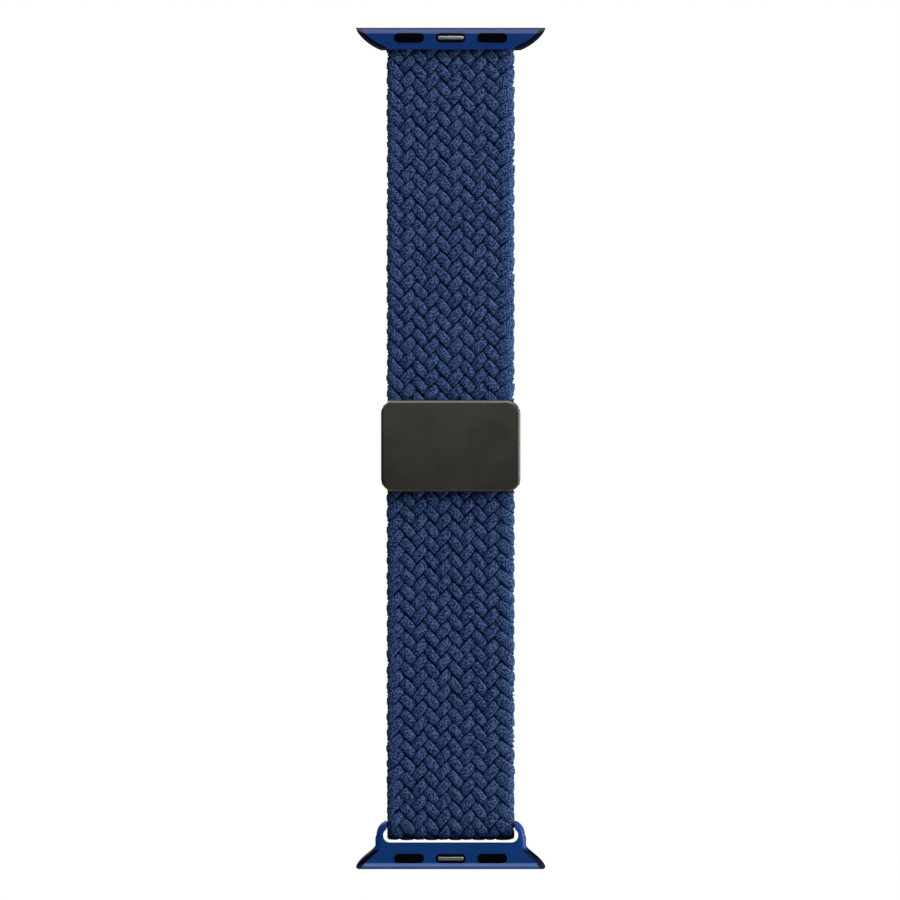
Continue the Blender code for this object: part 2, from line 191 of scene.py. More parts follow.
def rounded_plate(rows, low, high, corner, steps=6):
    """A plate across X with its two sides rounded to a radius. rows gives its half width
    at each height, from the top down; it lies between two Y."""
    turns = [math.pi / 2 * i / steps for i in range(steps + 1)]
    section = []
    for face, way in ((low, 1), (high, -1)):
        arc = [(corner * (1 - math.sin(turn)), face + way * corner * (1 - math.cos(turn)))
               for turn in turns]
        section += arc[::way]
    around, last = 2 * len(section), len(rows) - 1
    bm = bmesh.new()
    bmesh.ops.create_grid(bm, x_segments=around, y_segments=last, size=0.5)
    for vert in bm.verts:
        row = round((0.5 - vert.co.y) * last)
        before, after = rows[max(row - 1, 0)], rows[min(row + 1, last)]
        run = Vector((before[1] - after[1], after[0] - before[0])).normalized()
        column = round((vert.co.x + 0.5) * around) % around
        right = column < len(section)
        inset, y = section[column if right else around - 1 - column]
        half, z = rows[row]
        if row in (0, last) and run.x > 0.3:        # the ends stay flat
            half -= inset / max(run.x, 0.5)
        else:
            half, z = half - inset * run.x, z - inset * run.y
        vert.co = Vector((half if right else -half, y, z)) * MM
    bmesh.ops.remove_doubles(bm, verts=bm.verts, dist=1e-7)
    bmesh.ops.holes_fill(bm, edges=[e for e in bm.edges if e.is_boundary], sides=0)
    bmesh.ops.dissolve_limit(bm, angle_limit=math.radians(0.05), verts=bm.verts,
                             edges=bm.edges, use_dissolve_boundaries=False)
    bmesh.ops.recalc_face_normals(bm, faces=bm.faces)
    return bm


def chamfer(bm, inner, outer):
    """Takes off an edge along X by a plane through two (Y, Z) places on it."""
    run = Vector((0, outer[0] - inner[0], outer[1] - inner[1]))
    normal = run.cross(Vector((1, 0, 0)))
    middle = Vector((0, sum(v.co.y for v in bm.verts), sum(v.co.z for v in bm.verts)))
    middle /= len(bm.verts)
    start = Vector((0, *inner)) * MM
    if normal.dot(middle - start) > 0:
        normal.negate()
    geom = list(bm.verts) + list(bm.edges) + list(bm.faces)
    cut = bmesh.ops.bisect_plane(bm, geom=geom, dist=1e-8, plane_co=start, plane_no=normal,
                                 clear_outer=True)["geom_cut"]
    rim = [item for item in cut if isinstance(item, bmesh.types.BMEdge)]
    bmesh.ops.holes_fill(bm, edges=[e for e in rim if e.is_boundary], sides=0)
    bmesh.ops.recalc_face_normals(bm, faces=bm.faces)
    return bm


def raw_object(name, bm):
    """A mesh object from a bmesh, which is used up."""
    mesh = bpy.data.meshes.new(name)
    bm.to_mesh(mesh)
    bm.free()
    piece = bpy.data.objects.new(name, mesh)
    bpy.context.scene.collection.objects.link(piece)
    return piece


def settle(piece):
    """Applies a piece's modifiers to its mesh."""
    depsgraph = bpy.context.evaluated_depsgraph_get()
    mesh = bpy.data.meshes.new_from_object(piece.evaluated_get(depsgraph), depsgraph=depsgraph)
    piece.modifiers.clear()
    old = piece.data
    piece.data = mesh
    bpy.data.meshes.remove(old)
    mesh.name = piece.name


def machined(name, bm, cuts=(), joins=(), edge=0.07, segments=2):
    """A moulded or machined piece: a body, what is cut from it, what is joined to it,
    and a small radius on every edge that is left sharp."""
    piece = raw_object(name, bm)
    helpers = []
    for operation, shapes in (("DIFFERENCE", cuts), ("UNION", joins)):
        for shape in shapes:
            helper = raw_object(f"{name}_helper", shape)
            helpers.append(helper)
            boolean = piece.modifiers.new("shape", "BOOLEAN")
            boolean.operation = operation
            boolean.solver = "EXACT"
            boolean.object = helper
    settle(piece)
    for helper in helpers:
        mesh = helper.data
        bpy.data.objects.remove(helper)
        bpy.data.meshes.remove(mesh)
    if edge:
        bevel = piece.modifiers.new("edge", "BEVEL")
        bevel.width = edge * MM
        bevel.segments = segments
        bevel.limit_method = "ANGLE"
        bevel.angle_limit = math.radians(32)
        bevel.use_clamp_overlap = True
        settle(piece)
    piece.data.shade_smooth()
    weighted = piece.modifiers.new("shading", "WEIGHTED_NORMAL")
    weighted.keep_sharp = True
    settle(piece)
    return piece


def finish(piece, material, body=None, replaces=()):
    """Gives a piece its material, slot and body, and the CAD nodes it stands for."""
    piece.data.materials.clear()
    piece.data.materials.append(material)
    if body:
        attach(piece, body)
    if replaces:
        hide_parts(*replaces)
    return piece


# ---- shader groups ------------------------------------------------------------------

class Nodes:
    """Adds nodes to a tree and joins them in one line."""

    def __init__(self, tree):
        self.tree = tree

    def feed(self, socket, value):
        if isinstance(value, bpy.types.NodeSocket):
            self.tree.links.new(value, socket)
        else:
            socket.default_value = value

    def add(self, kind, inputs=None, **settings):
        node = self.tree.nodes.new(kind)
        for key, value in settings.items():
            setattr(node, key, value)
        for key, value in (inputs or {}).items():
            self.feed(node.inputs[key], value)
        return node

    def math(self, operation, a, b=0.0, c=0.0, clamp=False):
        node = self.add("ShaderNodeMath", {0: a, 1: b}, operation=operation, use_clamp=clamp)
        if operation in ("MULTIPLY_ADD", "SMOOTH_MIN"):
            self.feed(node.inputs[2], c)
        return node.outputs[0]

    def mix(self, amount, a, b):
        node = self.add("ShaderNodeMix", {0: amount, 6: a, 7: b}, data_type="RGBA")
        return node.outputs[2]

    def ramp(self, value, low, high, to_low=0.0, to_high=1.0):
        node = self.add("ShaderNodeMapRange",
                        {"Value": value, "From Min": low, "From Max": high,
                         "To Min": to_low, "To Max": to_high},
                        interpolation_type="SMOOTHSTEP")
        return node.outputs["Result"]


def group(name, inputs, outputs):
    """An empty shader group with named sockets, and its inner nodes."""
    tree = bpy.data.node_groups.new(name, "ShaderNodeTree")
    for label, kind, value in inputs:
        socket = tree.interface.new_socket(label, in_out="INPUT", socket_type=kind)
        socket.default_value = value
    for label in outputs:
        tree.interface.new_socket(label, in_out="OUTPUT", socket_type="NodeSocketFloat")
    n = Nodes(tree)
    return tree, n, n.add("NodeGroupInput").outputs, n.add("NodeGroupOutput").inputs


def grain_group():
    """Fine surface grain and a slower mottle, for yarn and for coated, moulded and
    ground faces."""
    tree, n, given, out = group(
        "surface_grain",
        [("Vector", "NodeSocketVector", (0, 0, 0)), ("Grain mm", "NodeSocketFloat", 0.1),
         ("Mottle mm", "NodeSocketFloat", 2.0), ("Stretch", "NodeSocketVector", (1, 1, 1))],
        ["Grain", "Mottle"])
    stretched = n.add("ShaderNodeVectorMath", {0: given["Vector"], 1: given["Stretch"]},
                      operation="MULTIPLY").outputs[0]
    for label, where, detail in (("Grain", stretched, 2.0), ("Mottle", given["Vector"], 3.0)):
        scale = n.math("DIVIDE", 1 / MM, given[f"{label} mm"])
        noise = n.add("ShaderNodeTexNoise", {"Vector": where, "Scale": scale, "Detail": detail})
        n.feed(out[label], noise.outputs["Fac"])
    return tree


def band_group():
    """A mask that is strongest in a band between two distances, with a soft border."""
    tree, n, given, out = group(
        "edge_band",
        [("Distance mm", "NodeSocketFloat", 0.0), ("Start mm", "NodeSocketFloat", 0.0),
         ("End mm", "NodeSocketFloat", 1.0), ("Soft mm", "NodeSocketFloat", 0.1)],
        ["Mask"])
    past_start = n.math("DIVIDE", n.math("SUBTRACT", given["Distance mm"], given["Start mm"]),
                        given["Soft mm"], clamp=True)
    before_end = n.math("DIVIDE", n.math("SUBTRACT", given["End mm"], given["Distance mm"]),
                        given["Soft mm"], clamp=True)
    n.feed(out["Mask"], n.math("MULTIPLY", past_start, before_end))
    return tree


GRAIN = grain_group()
BAND = band_group()


def placed(n, tree, inputs):
    """Puts a group in a material and gives back its outputs."""
    node = n.add("ShaderNodeGroup", node_tree=tree)
    for key, value in inputs.items():
        n.feed(node.inputs[key], value)
    return node.outputs


def material(name):
    """A new material, its nodes, and its main shader's inputs."""
    made = bpy.data.materials.new(name)
    made.use_nodes = True
    return made, Nodes(made.node_tree), made.node_tree.nodes["Principled BSDF"].inputs


def braid_yarn():
    """Navy nylon: twisted yarns in flat bundles, painted highlights as ply tops and filament
    glints, painted shade in dips.
    """
    made, n, shader = material("braid_yarn")
    lay = n.add("ShaderNodeAttribute", attribute_name="yarn_lay").outputs["Vector"]
    along, across, level = n.add("ShaderNodeSeparateXYZ", {0: lay}).outputs
    where = n.add("ShaderNodeTexCoord").outputs["Object"]
    grain, mottle = placed(n, GRAIN, {"Vector": where, "Grain mm": 0.29,
                                      "Mottle mm": 3.4})[:2]
    yarn = n.math("DIVIDE", across, YARN_WIDE)
    which = n.math("FLOOR", yarn)
    strand = n.math("ABSOLUTE", n.math("SINE", n.math("MULTIPLY", yarn, math.pi)))
    turn = n.math("ADD", n.math("DIVIDE", along, PLY_LONG),
                  n.math("MULTIPLY", which, PLY_SHIFT))
    for cause, amount in ((yarn, PLY_SLANT), (mottle, PLY_DRIFT), (grain, PLY_FUZZ)):
        turn = n.math("MULTIPLY_ADD", cause, amount, turn)
    wave = n.math("SINE", n.math("MULTIPLY", turn, 2 * math.pi))
    ply = n.math("MULTIPLY_ADD", wave, 0.5, 0.5)
    relief = n.math("MULTIPLY", n.math("POWER", strand, 0.35),
                    n.math("MULTIPLY_ADD", ply, 0.7, 0.3))
    # painted highlight: ply tops and random filament glints are lightened in the colour
    painted_glint = n.math("MULTIPLY", n.ramp(grain, 0.38, 0.62), 0.66)
    painted_highlight_mask = n.ramp(n.math("MULTIPLY_ADD", relief, 0.34, painted_glint), 0.24, 0.82)
    navy = n.mix(n.ramp(mottle, 0.35, 0.65), BRAID_DEEP, BRAID_NAVY)
    lit = n.mix(painted_highlight_mask, navy, BRAID_PAINTED_GLINT)
    # painted shade: the braid is darkened where a strand lies low, in the dips between strands
    n.feed(shader["Base Color"], n.mix(n.ramp(level, *BRAID_LEVELS), BRAID_SHADE, lit))
    n.feed(shader["Roughness"], n.ramp(relief, 0.0, 1.0, 0.88, 0.68))
    shader["Specular IOR Level"].default_value = 0.08
    shader["Sheen Weight"].default_value = 0.03
    shader["Sheen Roughness"].default_value = 0.5
    shader["Sheen Tint"].default_value = (0.4, 0.55, 0.95, 1)
    height = n.math("MULTIPLY_ADD", grain, 0.6, relief)
    bump = n.add("ShaderNodeBump", {"Height": height, "Strength": 0.7, "Distance": 0.08 * MM})
    n.feed(shader["Normal"], bump.outputs[0])
    return made


def grained(name, dark, light, roughness, metallic=0.0, grain_mm=0.1, mottle_mm=2.5,
            bump=0.3, stretch=(1, 1, 1), specular=0.5):
    """A coated, moulded or ground surface with its own grain. Gives back the material,
    its nodes, its main shader's inputs and its colour."""
    made, n, shader = material(name)
    where = n.add("ShaderNodeTexCoord").outputs["Object"]
    grain, mottle = placed(n, GRAIN, {"Vector": where, "Grain mm": grain_mm,
                                      "Mottle mm": mottle_mm, "Stretch": stretch})[:2]
    mixed = n.math("MULTIPLY_ADD", grain, 0.55, n.math("MULTIPLY", mottle, 0.45))
    colour = n.mix(n.ramp(mixed, 0.34, 0.66), (*dark, 1), (*light, 1))
    n.feed(shader["Base Color"], colour)
    n.feed(shader["Roughness"], n.ramp(mixed, 0.3, 0.7, roughness - 0.05, roughness + 0.05))
    shader["Metallic"].default_value = metallic
    shader["Specular IOR Level"].default_value = specular
    bumped = n.add("ShaderNodeBump", {"Height": grain, "Strength": bump,
                                      "Distance": 0.015 * MM})
    n.feed(shader["Normal"], bumped.outputs[0])
    return made, n, shader, colour


def lug_coat(name, end_z, way, dark_reach, navy, pale, rim_shade_and_light):
    """Satin navy coat, painted paler on the chamfer at the lug's outer end as a painted
    highlight, with painted shade on the flat beyond it on the upper lug and painted light there
    on the lower lug, and painted blue-black shade where the flared ends turn to the side, as
    far in as dark_reach. way is the direction of Z from the outer end inwards."""
    made, n, shader, colour = grained(name, [0.9 * c for c in navy], [1.1 * c for c in navy],
                                      0.32, 0.0, 0.07, 4.0, 0.15, specular=0.09)
    where = n.add("ShaderNodeTexCoord").outputs["Object"]
    x, _, z = n.add("ShaderNodeSeparateXYZ", {0: where}).outputs
    inward = n.math("MULTIPLY", n.math("SUBTRACT", z, end_z * MM), way / MM)
    wide = n.math("DIVIDE", n.math("ABSOLUTE", x), MM)
    near, far = LUG_BAND
    band = placed(n, BAND, {"Distance mm": inward, "Start mm": near - 0.02,
                            "End mm": far + 0.05, "Soft mm": 0.08})[0]
    # the flat between chamfer and outer end gets a darker navy on the upper lug as painted
    # shade and a paler one on the lower lug as painted light
    colour = n.mix(n.ramp(inward, near - 0.02, near - 0.10), colour, (*rim_shade_and_light, 1))
    inside = n.ramp(n.math("ADD", wide, inward), *BAND_STOP)
    # painted highlight: the chamfer is painted paler in place of the reflection it would catch
    colour = n.mix(n.math("MULTIPLY", band, inside), colour, (*pale, 1))
    normal = n.add("ShaderNodeNewGeometry").outputs["Normal"]
    facing = n.math("ABSOLUTE", n.add("ShaderNodeSeparateXYZ", {0: normal}).outputs[1])
    # painted shade: faces turning to the side near the flared ends are painted blue-black
    turned = n.math("MULTIPLY", n.ramp(facing, *SIDE_TURN), n.ramp(wide, *SIDE_START))
    turned = n.math("MULTIPLY", turned, n.ramp(inward, dark_reach + 0.4, dark_reach - 0.4))
    tip = n.math("ADD", wide, n.math("MULTIPLY", inward, 0.75))
    behind = n.ramp(inward, far - 0.06, far + 0.14)
    turned = n.math("MULTIPLY", turned, n.math("MAXIMUM", behind, n.ramp(tip, *TIP_START)))
    n.feed(shader["Base Color"], n.mix(turned, colour, SIDE_SHADE_BLUE_BLACK))
    return made


def clasp_paint():
    """Warm grey satin coat with painted light and shade: a little darker towards the lower end
    of the clasp.
    """
    made, n, shader, colour = grained("clasp_grey_coat", (0.0345, 0.0315, 0.0245),
                                      (0.0425, 0.0390, 0.0310), 0.38, 0.35, 0.055, 5.0, 0.35)
    where = n.add("ShaderNodeTexCoord").outputs["Object"]
    z = n.add("ShaderNodeSeparateXYZ", {0: where}).outputs[2]
    reach = CLASP_HEIGHT / 2
    # painted light and shade: the colour is lighter towards the top of the clasp, darker
    # towards the bottom
    shade = n.ramp(z, (CLASP_MIDDLE - reach) * MM, (CLASP_MIDDLE + reach) * MM, 0.72, 1.12)
    n.feed(shader["Base Color"], n.add("ShaderNodeVectorMath", {0: colour, "Scale": shade},
                                       operation="SCALE").outputs[0])
    return made


# ---- strap --------------------------------------------------------------------------

def path_drop(s):
    """How far a strand has come down the strap, in pitches, after s columns."""
    legs, rest = divmod(s, COLUMNS)
    inner = min(max(rest - 1, 0.0), COLUMNS - 2.0)
    edges = (min(rest, 1.0) * EDGE_DROP_OVER
             + max(rest - COLUMNS + 1, 0.0) * EDGE_DROP_UNDER)
    flat = FLOAT_FLAT / math.pi * (math.cos(math.pi * s) - 1)
    leg = COLUMNS - 2 + EDGE_DROP_OVER + EDGE_DROP_UNDER
    return legs * leg + inner + edges + flat


def path_reach(s):
    """How far a strand has gone across, unfolded at the strap's edges."""
    legs, rest = divmod(s, COLUMNS)
    first, last = INNER_LEFT - EDGE_LEFT, EDGE_RIGHT - INNER_RIGHT
    if int(legs) % 2:
        first, last = last, first
    middle = (INNER_RIGHT - INNER_LEFT) / (COLUMNS - 2)
    inner = min(max(rest - 1, 0.0), COLUMNS - 2.0)
    return (legs * (EDGE_RIGHT - EDGE_LEFT) + min(rest, 1.0) * first + inner * middle
            + max(rest - COLUMNS + 1, 0.0) * last)


def over(s):
    """1 where a strand lies over its neighbours and -1 where it lies under them."""
    wave = math.sin(math.pi * s)
    return wave / math.sqrt(wave * wave + FLOAT_SQUARE ** 2) * math.sqrt(1 + FLOAT_SQUARE ** 2)


def smooth(value):
    value = min(max(value, 0.0), 1.0)
    return value * value * (3 - 2 * value)


class Strand:
    """Where one ring of a strand lies, and how wide and thick it is there."""

    def __init__(self, s, tension):
        step = 0.01
        self.s = s
        self.drop = path_drop(s) * PITCH
        self.speed = (path_reach(s + step) - path_reach(s - step)) / (2 * step)
        fall = (path_drop(s + step) - path_drop(s - step)) / (2 * step) * PITCH
        run = math.hypot(self.speed, fall)
        self.side = (self.speed / run, fall / run)
        self.fold = round(s / COLUMNS)
        self.past_fold = path_reach(s) - path_reach(self.fold * COLUMNS)
        self.at_edge = 1 - smooth((abs(s - self.fold * COLUMNS) - 0.25) / 0.6)
        self.half = (PITCH / 2 - BUNDLE_GAP) / (2 * self.side[1]) * tension
        self.half *= 1 + EDGE_WIDEN * self.at_edge
        self.thick = BUNDLE_THICK * (1 - EDGE_THIN * self.at_edge)

    def point(self, across, up):
        """A place in the flat strap: across the strap, out of it, and down it."""
        aside = across * self.side[0]
        s = self.s + self.at_edge * aside / self.speed
        past = self.past_fold + aside
        turn = math.sqrt(past ** 2 + FOLD_NOSE ** 2) - FOLD_NOSE * math.exp(-(past / 0.6) ** 2)
        right = self.fold % 2
        x = EDGE_RIGHT - turn if right else EDGE_LEFT + turn
        height = over(s)
        if abs(s - self.fold * COLUMNS) < 0.5:
            lean = -height if right else height
        else:
            lean = -1.0 if int(s // COLUMNS) % 2 else 1.0
        lean = min(max(lean, -1.0), 1.0)
        x += up * math.sqrt(1 - lean * lean)
        y = -FLOAT_HEIGHT * height + up * lean
        bow = ROW_BOW * (1 - (x / (STRAP_WIDTH / 2)) ** 2)
        z = -self.drop + across * self.side[1] - bow
        return x, y, z


def weave(length, phase, seed):
    """The strands of one length of braid, lying flat from 0 down to -length, with how
    each place lies on its own strand: along it, across it, and how near the surface."""
    bm = bmesh.new()
    lay = bm.verts.layers.float_vector.new("yarn_lay")
    chance = random.Random(seed)
    noise.seed_set(seed)
    cycle = path_drop(2 * COLUMNS)
    for index in range(STRANDS):
        start = phase + index
        tension = 1.0 + chance.uniform(*WIDTH_SPREAD)
        lift = chance.uniform(-DROP_SPREAD, DROP_SPREAD)
        rings = []
        s = -2 * COLUMNS * math.ceil((start + cycle) / cycle)
        while True:
            z = -(start + path_drop(s)) * PITCH
            if z < -length - MARGIN:
                break
            if z < MARGIN:
                rings.append(s)
            s += 1 / RINGS
        count = len(rings) - 1
        sheet = bmesh.ops.create_grid(bm, x_segments=count, y_segments=BUNDLE_POINTS, size=0.5)
        places = [Strand(s, tension) for s in rings]
        for vert in sheet["verts"]:
            ring = round((vert.co.x + 0.5) * count)
            angle = (vert.co.y + 0.5) * 2 * math.pi - math.pi / 2
            spot = places[ring]
            c, r = math.cos(angle), math.sin(angle)
            across = math.copysign(abs(c) ** BUNDLE_SQUARE, c) * spot.half
            up = math.copysign(abs(r) ** BUNDLE_SQUARE, r) * spot.thick
            x, y, z = spot.point(across, up)
            z -= start * PITCH - lift
            stray = noise.noise_vector(Vector((x, y + seed, z)) * STRAY_SCALE) * STRAY_REACH
            level = math.hypot(y, max(abs(x) - EDGE_LEVEL, 0))
            vert[lay] = (rings[ring] * COLUMN_RUN, across, level)
            vert.co = Vector((x + stray.x, y + stray.y * 0.5, z + stray.z))
    bmesh.ops.remove_doubles(bm, verts=bm.verts, dist=1e-5)
    core = bmesh.ops.create_grid(bm, x_segments=1, y_segments=round(length), size=0.5)["verts"]
    bmesh.ops.scale(bm, verts=core, vec=(2 * CORE_HALF, length, 1))
    bmesh.ops.rotate(bm, verts=core, matrix=Matrix.Rotation(math.pi / 2, 3, "X"))
    bmesh.ops.translate(bm, verts=core, vec=(0, CORE_THICK / 2, -length / 2))
    faces = list({face for vert in core for face in vert.link_faces})
    pushed = bmesh.ops.extrude_face_region(bm, geom=faces, use_keep_orig=True)["geom"]
    back = [item for item in pushed if isinstance(item, bmesh.types.BMVert)]
    bmesh.ops.translate(bm, verts=back, vec=(0, -CORE_THICK, 0))
    return bm


def fold_place(point):
    """Takes a place in the flat lower strap round the crossbar and up to the tab."""
    x, y, z = point
    x = min(max(x, -FOLD_HALF), FOLD_HALF)       # held between the ears
    if z >= FOLD_Z:
        return Vector((x, y, z))
    turned = (FOLD_Z - z) / BAR_Y
    if turned <= math.pi:
        pull = FOLD_PULL * math.sin(turned)      # drawn tight and flatter over the bar
        radius = BAR_Y - y * (1 - pull) + FOLD_FACE * pull
        return Vector((x, BAR_Y - radius * math.cos(turned),
                       FOLD_Z - radius * math.sin(turned)))
    rise = FOLD_Z - math.pi * BAR_Y - z
    back = 2 * BAR_Y - TAB_Y
    share = min(rise / TAB_RISE, 1.0)
    middle = 2 * BAR_Y - back * smooth(share)
    slope = -back * 6 * share * (1 - share) / TAB_RISE
    tilt = math.hypot(1.0, slope)
    return Vector((x, middle - y / tilt, FOLD_Z + rise + y * slope / tilt))


def trimmed(bm, top, bottom):
    """The part of the braid between two heights, closed where it is cut."""
    part = bm.copy()
    for level, way in ((top, 1), (bottom, -1)):
        geom = list(part.verts) + list(part.edges) + list(part.faces)
        cut = bmesh.ops.bisect_plane(part, geom=geom, dist=1e-6, plane_co=(0, 0, level),
                                     plane_no=(0, 0, way), clear_outer=True)["geom_cut"]
        rim = [item for item in cut
               if isinstance(item, bmesh.types.BMEdge) and item.is_boundary]
        caps = bmesh.ops.holes_fill(part, edges=rim, sides=0)["faces"]
        for edge in rim:
            edge.smooth = False
        for cap in caps:
            cap.smooth = False
    return part


def strap_half(prefix, bm, spans, yarn):
    """Cuts one half of the strap into pieces. A span gives a piece's label, its two ends,
    how it is placed, the CAD nodes it stands for, and its body or, across a bend, its two
    bodies and where the bend starts."""
    for face in bm.faces:
        face.smooth = True
    for label, top, bottom, place, nodes, bodies, bend_start in spans:
        part = trimmed(bm, top, bottom)
        bmesh.ops.triangulate(part, faces=[f for f in part.faces if len(f.verts) > 4])
        for vert in part.verts:
            vert.co = place(vert.co) * MM
        bmesh.ops.recalc_face_normals(part, faces=part.faces)
        piece = finish(raw_object(f"{prefix}_braid_{label}", part), yarn, None, nodes)
        if len(bodies) == 2:
            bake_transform(piece)
        else:
            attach(piece, bodies[0])
    bm.free()


def upper_strap(yarn):
    half = UPPER_BEND_STEP / 2
    bends = [UPPER_BEND_TOP - UPPER_BEND_STEP * i for i in range(UPPER_BENDS)]
    bm = weave(UPPER_TOP - UPPER_BOTTOM + 2 * MARGIN, UPPER_PHASE, 3)
    bmesh.ops.translate(bm, verts=bm.verts, vec=(0, 0, UPPER_TOP + MARGIN))
    for vert in bm.verts:       # the end is pressed a little flatter inside the lug
        vert.co.y *= 1 - 0.04 * smooth((vert.co.z + LUG_HEIGHT) / 0.5)
    nodes = ["upper_strap_root"] + [f"upper_strap_{i}" for i in range(1, UPPER_BENDS + 1)]
    bodies = ["upper_lug_body"] + [f"upper_link_{i}" for i in range(1, UPPER_BENDS + 1)]
    ends = [UPPER_TOP] + [bend - half for bend in bends]
    spans = [(i + 1, ends[i], ends[i + 1], Vector, [nodes[i]], bodies[i:i + 2], bend + half)
             for i, bend in enumerate(bends)]
    spans.append((UPPER_BENDS + 1, ends[-1], UPPER_BOTTOM, Vector, nodes[-1:], bodies[-1:],
                  None))
    strap_half("upper", bm, spans, yarn)


def lower_strap(yarn):
    half = LOWER_BEND_STEP / 2
    bends = [LOWER_BEND_TOP - LOWER_BEND_STEP * i for i in range(LOWER_BENDS)]
    length = LOWER_TOP - FOLD_Z + math.pi * BAR_Y + TAB_END - FOLD_Z
    bm = weave(length + 2 * MARGIN, LOWER_PHASE, 8)
    bmesh.ops.scale(bm, verts=bm.verts, vec=(1, 1, -1))     # the same braid, upside down
    bmesh.ops.translate(bm, verts=bm.verts, vec=(0, 0, LOWER_TOP - length - MARGIN))
    bmesh.ops.reverse_faces(bm, faces=bm.faces)
    bodies = [f"lower_link_{i}" for i in range(1, LOWER_BENDS + 2)]
    spans = [(1, LOWER_TOP, bends[0] + half, Vector, ["lower_strap_1"], bodies[:1], None)]
    for i, bend in enumerate(bends):
        nodes = [f"lower_strap_{i + 2}"] if i < LOWER_BENDS - 1 else []
        spans.append((i + 2, bend + half, bend - half, Vector, nodes, bodies[i:i + 2],
                      bend + half))
    spans.append(("fold", bends[-1] - half, LOWER_TOP - length, fold_place,
                  ["lower_strap_fold"], bodies[-1:], None))
    strap_half("lower", bm, spans, yarn)


# ---- lugs ---------------------------------------------------------------------------

def lug_end(depth):
    """Half the lug's width at a distance in from its outer end."""
    share = min(max(depth / LUG_END_HEIGHT, 0.0), 1.0)
    swell = (1 - share ** LUG_END_CURVE) ** (1 / LUG_END_CURVE)
    return LUG_WIDTH / 2 - LUG_END_DEPTH * (1 - swell)


def frame_side(z):
    """Half the width of the lower lug: its flared end runs into the straight ears."""
    flare = lug_end(FLARE_STEEP * (z - LOWER_END - LUG_TIP_ROUND))
    return (flare ** FLARE_BLEND + FRAME_SIDE ** FLARE_BLEND) ** (1 / FLARE_BLEND)


def pills_row(prefix, face, row_z, body, detent_body, rubber, moulded, steel):
    """The two rubber pads and the sprung detent between them. Returns the pockets."""
    wide, high = PILL_LENGTH + 2 * FIT_GAP, PILL_HEIGHT + 2 * FIT_GAP
    pockets = []
    for side, word in ((-1, "left"), (1, "right")):
        x = side * PILL_SPACING
        pockets.append(pill(wide, high, x, row_z, (face - 1, face + PAD_DEPTH)))
        pad = pill(PILL_LENGTH, PILL_HEIGHT, x, row_z,
                   (face - PAD_PROUD, face + PAD_DEPTH - FIT_GAP))
        round_rim(pad, face - PAD_PROUD, 0.14, 4)
        name = f"{prefix}_pad_{word}"
        finish(machined(f"{name}_rubber", pad, edge=0.03), rubber, body, [name])
    pockets.append(pill(wide, high, 0, row_z, (face - 1, face + DETENT_DEPTH)))
    housing = pill(PILL_LENGTH, PILL_HEIGHT, 0, row_z,
                   (face - HOUSING_PROUD, face + DETENT_DEPTH - FIT_GAP))
    slot = block([s * (BAR_LENGTH / 2 + FIT_GAP) for s in (-1, 1)],
                 (face - 1, face + DETENT_SLOT_DEPTH),
                 [row_z + s * (BAR_HEIGHT / 2 + FIT_GAP) for s in (-1, 1)], "Y", 0.2, 5)
    name = f"{prefix}_detent_housing"
    finish(machined(f"{name}_moulded", housing, [slot], edge=0.05), moulded,
           body, [name])
    front = face - BAR_PROUD
    bar = block((-BAR_LENGTH / 2, BAR_LENGTH / 2), (front, front + BAR_DEPTH),
                (row_z - BAR_HEIGHT / 2, row_z + BAR_HEIGHT / 2), "Y", 0.18, 5)
    name = f"{prefix}_detent_bar"
    finish(machined(f"{name}_ground", bar, edge=0.06, segments=3), steel,
           detent_body, [name])
    return pockets


def upper_lug(coat, rubber, moulded, steel):
    steps = 24
    rows = [(lug_end(LUG_HEIGHT * i / steps), -LUG_HEIGHT * i / steps)
            for i in range(steps + 1)]
    face = LUG_THICK / 2
    body = rounded_plate(rows, -face, face, UPPER_LUG_EDGE)
    for side in (-face, face):
        long_edge = [e for e in body.edges
                     if all(abs(v.co.y - side * MM) < 1e-7 for v in e.verts)
                     and all(abs(v.co.z + LUG_HEIGHT * MM) < 1e-7 for v in e.verts)]
        bmesh.ops.bevel(body, geom=long_edge, offset=LUG_LONG_EDGE * MM, offset_type="OFFSET",
                        segments=4, profile=0.5, affect="EDGES", clamp_overlap=True,
                        material=-1)
    pockets = pills_row("upper", -face, -PILL_INSET, "upper_lug_body", "upper_detent", rubber,
                        moulded, steel)
    reach, deep = STRAP_WIDTH / 2 + CLEARANCE, STRAP_THICK / 2 + CLEARANCE
    socket = block((-reach, reach), (-deep, deep), (-LUG_HEIGHT - 1, SOCKET_TOP))
    shape_ends(body, (-face, face), 0.0, -1)
    finish(machined("upper_lug_coated", body, [socket] + pockets), coat,
           "upper_lug_body", ["upper_lug"])


def shape_ends(body, faces, end, inward):
    """Takes the two flats off both long edges of a lug's outer end."""
    near, far = LUG_BAND
    first, second = LUG_STEP
    for face, way in zip(faces, (1, -1)):
        crease = (face + way * first, end + inward * near)
        chamfer(body, (face, end + inward * far), crease)
        chamfer(body, crease, (face + way * second, end))


